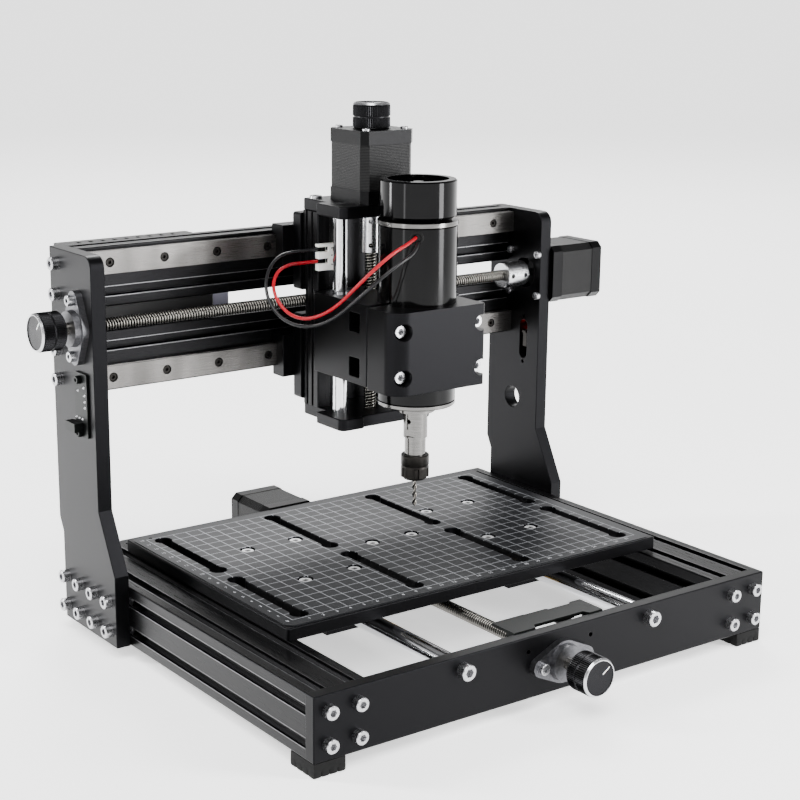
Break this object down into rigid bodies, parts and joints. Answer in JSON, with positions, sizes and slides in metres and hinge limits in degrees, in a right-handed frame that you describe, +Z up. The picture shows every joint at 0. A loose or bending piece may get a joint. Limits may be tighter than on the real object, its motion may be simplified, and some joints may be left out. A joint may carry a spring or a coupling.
{
  "type": "cnc router",
  "caption": "Desktop three-axis router with a moving slotted table, a fixed gantry, hand knobs on its lead screws and a clamped spindle with a drill.",
  "frame": {"origin": "on the floor, under the middle of the base frame", "axes": "+X right along the gantry, +Y to the back, +Z up"},
  "size_m": [0.459, 0.384, 0.35],
  "materials": {
    "black_anodised": "satin black anodised",
    "black_profile": "black anodised extrusion",
    "rail_steel": "ground steel",
    "bright_steel": "ground and polished",
    "zinc_steel": "zinc plated",
    "cast_zinc": "die cast, bare",
    "motor_black": "black laminations and caps",
    "alloy": "turned, bare",
    "knob_black": "knurled, black anodised",
    "brass": "turned",
    "rubber": "moulded",
    "board": "black solder mask",
    "black_plastic": "moulded",
    "powder_black": "powder coated",
    "table_alloy": "black anodised, bright edge",
    "table_print": "printed grid",
    "white_plastic": "moulded nylon",
    "gloss_black": "gloss black",
    "fan_plastic": "gloss black",
    "spindle_steel": "turned",
    "nut_black": "black oxide",
    "drill_steel": "ground",
    "red_rubber": "soft insulation",
    "black_rubber": "soft insulation",
    "lever_steel": "stamped"
  },
  "bodies": {
    "frame": {"side_profiles": "black_profile", "front_plate": "black_anodised", "rear_plate": "black_anodised", "rubber_feet": "rubber", "side_plate_left": "black_anodised", "side_plate_right": "black_anodised", "gantry_beams": "black_profile", "x_rails": "rail_steel", "rail_screws": "zinc_steel", "y_rods": "bright_steel", "frame_screws": "zinc_steel", "flange_bearings": "cast_zinc", "x_motor": "motor_black", "y_motor": "motor_black", "limit_boards": "board", "control_box": "powder_black"},
    "table": {"table_plate": "table_alloy", "table_overlay": "table_print", "table_screws": "zinc_steel", "y_bearing_blocks": "black_anodised", "y_nut_block": "black_anodised", "y_lead_nut": "brass"},
    "x_carriage": {"x_rail_blocks": "black_anodised", "carriage_plates": "black_anodised", "x_lead_nut": "brass", "z_back_channel": "black_profile", "z_top_plate": "black_anodised", "z_bottom_plate": "black_anodised", "z_rods": "bright_steel", "z_motor": "motor_black", "z_limit_board": "board", "wire_connector": "white_plastic"},
    "z_carriage": {"z_slider": "black_anodised", "z_linear_bearings": "bright_steel", "z_lead_nut": "brass", "clamp_cap": "black_anodised", "clamp_screws": "zinc_steel", "spindle_body": "gloss_black", "spindle_rings": "spindle_steel", "fan_shroud": "fan_plastic", "red_wire": "red_rubber", "black_wire": "black_rubber"},
    "spindle_rotor": {"spindle_shaft": "spindle_steel", "spindle_fan": "black_plastic", "collet_nut": "nut_black", "drill_bit": "drill_steel"},
    "x_drive": {"x_lead_screw": "bright_steel", "x_coupling": "alloy", "x_knob": "knob_black"},
    "y_drive": {"y_lead_screw": "bright_steel", "y_coupling": "alloy", "y_knob": "knob_black"},
    "z_drive": {"z_lead_screw": "bright_steel", "z_coupling": "alloy", "z_knob": "knob_black"},
    "x_limit_lever_left": {"x_limit_lever_left": "lever_steel"},
    "x_limit_lever_right": {"x_limit_lever_right": "lever_steel"},
    "y_limit_lever": {"y_limit_lever": "lever_steel"},
    "z_limit_lever": {"z_limit_lever": "lever_steel"}
  },
  "joints": [
    {"name": "table_slide", "type": "slide", "parent": "frame", "child": "table", "axis": [0, 1, 0], "range_m": [-0.11, 0.066]},
    {"name": "x_slide", "type": "slide", "parent": "frame", "child": "x_carriage", "axis": [1, 0, 0], "range_m": [-0.141, 0.112]},
    {"name": "z_slide", "type": "slide", "parent": "x_carriage", "child": "z_carriage", "axis": [0, 0, 1], "range_m": [-0.023, 0.0235], "deforming": ["red_wire", "black_wire"]},
    {"name": "spindle_turn", "type": "hinge", "parent": "z_carriage", "child": "spindle_rotor", "pos_m": [0.008, 0.008, 0.15], "axis": [0, 0, 1], "continuous": true},
    {"name": "x_screw_turn", "type": "hinge", "parent": "frame", "child": "x_drive", "pos_m": [0, 0.1, 0.214], "axis": [1, 0, 0], "range_deg": [-10085, 12695]},
    {"name": "y_screw_turn", "type": "hinge", "parent": "frame", "child": "y_drive", "pos_m": [0, 0, 0.029], "axis": [0, 1, 0], "range_deg": [-5945, 9905]},
    {"name": "z_screw_turn", "type": "hinge", "parent": "x_carriage", "child": "z_drive", "pos_m": [0.008, 0.06, 0.2], "axis": [0, 0, 1], "range_deg": [-2120, 2075]},
    {"name": "x_limit_lever_left_press", "type": "hinge", "parent": "frame", "child": "x_limit_lever_left", "pos_m": [-0.18195, 0.0995, 0.1575], "axis": [0, -1, 0], "range_deg": [0, 6], "stiffness_Nm_per_rad": 0.05, "springref_deg": -1.15},
    {"name": "x_limit_lever_right_press", "type": "hinge", "parent": "frame", "child": "x_limit_lever_right", "pos_m": [0.18195, 0.0995, 0.1575], "axis": [0, 1, 0], "range_deg": [0, 6], "stiffness_Nm_per_rad": 0.05, "springref_deg": -1.15},
    {"name": "y_limit_lever_press", "type": "hinge", "parent": "frame", "child": "y_limit_lever", "pos_m": [0.0205, -0.124, 0.04], "axis": [0, -1, 0], "range_deg": [0, 6], "stiffness_Nm_per_rad": 0.05, "springref_deg": -1.15},
    {"name": "z_limit_lever_press", "type": "hinge", "parent": "x_carriage", "child": "z_limit_lever", "pos_m": [0.0435, 0.0705, 0.277], "axis": [1, 0, 0], "range_deg": [0, 6], "stiffness_Nm_per_rad": 0.05, "springref_deg": -1.15}
  ],
  "couplings": [
    {"joint": "x_screw_turn", "follows": "x_slide", "rad_per_m": -1570.8},
    {"joint": "y_screw_turn", "follows": "table_slide", "rad_per_m": -1570.8},
    {"joint": "z_screw_turn", "follows": "z_slide", "rad_per_m": -1570.8}
  ]
}
